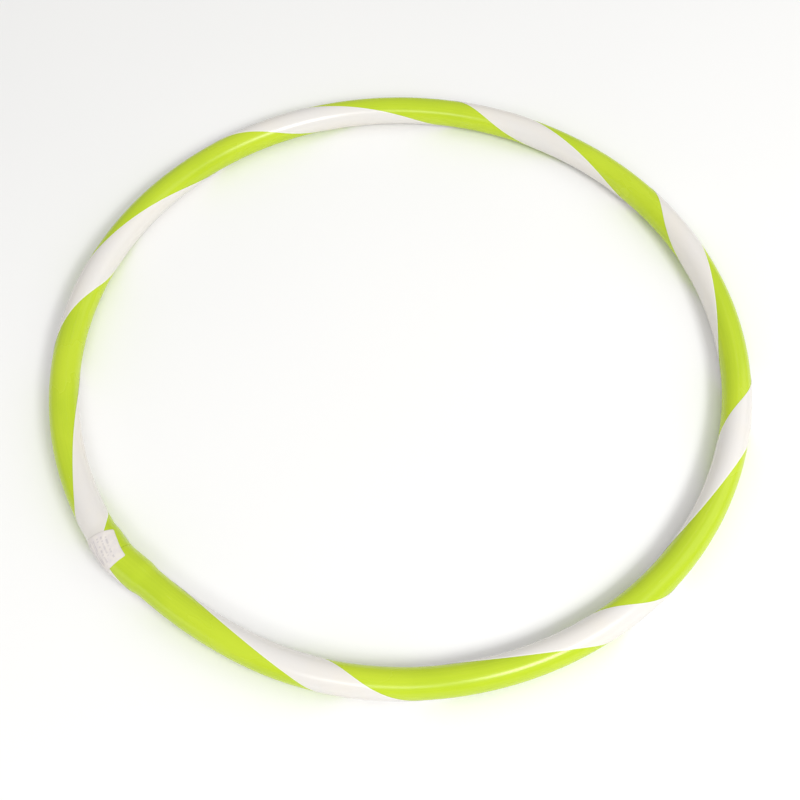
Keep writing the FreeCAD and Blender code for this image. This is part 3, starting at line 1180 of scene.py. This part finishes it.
@dataclass(frozen=True)
class JointHardware:
    """The plug and staples, whose CAD shapes are right and only need their finishes."""

    finishes: dict[Node, Any] = field(default_factory=lambda: {
        Node.PLUG: PlugPlastic(), Node.STAPLES: StapleSteel()})

    def dress(self) -> None:
        """Gives each CAD node its finish."""
        for node, finish in self.finishes.items():
            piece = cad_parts[node.value]
            piece.data.materials.clear()
            piece.data.materials.append(finish.material())
            log.info("%s: keeps its CAD shape", node.value)


# ---- Studio ----

@dataclass(frozen=True)
class Softbox:
    """A soft lamp aimed at the hoop's middle, placed by its direction from there."""

    name: str
    azimuth: float
    elevation: float
    width: float
    height: float
    watts: float
    distance: float = 3.0

    def build(self) -> None:
        """Makes the lamp."""
        lamp = bpy.data.lights.new(self.name, "AREA")
        lamp.shape = "RECTANGLE"
        lamp.size = self.width
        lamp.size_y = self.height
        lamp.energy = self.watts
        turn, rise = math.radians(self.azimuth), math.radians(self.elevation)
        way = Vector((math.sin(turn) * math.cos(rise), -math.cos(turn) * math.cos(rise), math.sin(rise)))
        holder = bpy.data.objects.new(self.name, lamp)
        holder.location = way * self.distance
        holder.rotation_mode = "QUATERNION"
        holder.rotation_quaternion = (-way).to_track_quat("-Z", "Y")
        bpy.context.scene.collection.objects.link(holder)


@dataclass(frozen=True)
class Studio:
    """Pale floor, soft lamps and the camera."""

    ring_height: float
    floor_size: float = 14.0
    floor_drop: float = 0.2 * MM
    sky_strength: float = 0.68
    horizon: Colour = (0.62, 0.62, 0.63)
    zenith: Colour = (1.0, 0.99, 0.97)
    camera_elevation: float = 57.86
    camera_roll: float = 0.685
    camera_distance: float = 1.1538
    lens: float = 60.1
    sensor: float = 36.0
    shift_x: float = -0.0018
    shift_y: float = -0.0512
    lamps: tuple[Softbox, ...] = (
        Softbox("right_strip", 38.0, 47.0, 1.05, 0.75, 36.0),
        Softbox("right_wing", 54.0, 48.0, 0.60, 0.40, 6.0),
        Softbox("middle_strip", -8.0, 43.5, 1.30, 0.65, 14.0),
        Softbox("low_window", -60.0, 9.0, 1.6, 1.1, 6.0),
        Softbox("right_fill", 100.0, 38.0, 2.2, 2.2, 13.0),
        Softbox("small_lamp", 152.0, 59.0, 0.10, 0.10, 0.8),
    )

    def floor(self) -> None:
        """Makes the floor, which isn't part of the object."""
        half = self.floor_size / 2
        mesh = bpy.data.meshes.new("studio_floor")
        corners = [(-half, -half), (half, -half), (half, half), (-half, half)]
        mesh.from_pydata([(x, y, -self.floor_drop) for x, y in corners], [], [(0, 1, 2, 3)])
        floor = bpy.data.objects.new("studio_floor", mesh)
        bpy.context.scene.collection.objects.link(floor)
        mesh.materials.append(PaleFloor().material())

    def sky(self) -> None:
        """Soft surrounding light, stronger from above."""
        world = bpy.data.worlds.new("studio_light")
        bpy.context.scene.world = world
        shade = Shade(world)
        way = shade.node("ShaderNodeTexCoord", output="Generated")
        colour = shade.mixed(shade.parts(way)[2], self.horizon, self.zenith)
        light = shade.node("ShaderNodeBackground", inputs={"Color": colour, "Strength": self.sky_strength})
        shade.node("ShaderNodeOutputWorld", inputs={"Surface": light}, output=None)

    def camera(self) -> None:
        """Makes the camera, level with the hoop but for a slight roll."""
        data = bpy.data.cameras.new("camera")
        data.lens = self.lens
        data.sensor_width = self.sensor
        data.shift_x = self.shift_x
        data.shift_y = self.shift_y
        camera = bpy.data.objects.new("camera", data)
        rise = math.radians(self.camera_elevation)
        roll = Matrix.Rotation(math.radians(self.camera_roll), 4, "Z")
        turned = Matrix.Rotation(math.pi / 2 - rise, 4, "X") @ roll
        back = Vector((0, -math.cos(rise), math.sin(rise)))
        place = Vector((0, 0, self.ring_height)) + back * self.camera_distance
        camera.matrix_world = Matrix.Translation(place) @ turned
        bpy.context.scene.collection.objects.link(camera)
        bpy.context.scene.camera = camera

    def build(self) -> None:
        """Makes the whole studio."""
        bpy.context.scene.view_settings.view_transform = "Standard"
        self.camera()
        self.floor()
        self.sky()
        for lamp in self.lamps:
            lamp.build()


def main() -> None:
    """Builds the studio and the hoop."""
    logging.basicConfig(level=logging.INFO, format="%(message)s")
    low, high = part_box(Node.TUBE.value)
    height = (low.z + high.z) / 2
    Studio(height).build()
    shape = TubeShape(RingLine(height))
    tape = SpiralTape(shape)
    HoopTube(shape).build()
    tape.build()
    JointSticker(shape, tape).build()
    JointHardware().dress()


if __name__ == "__main__":
    main()
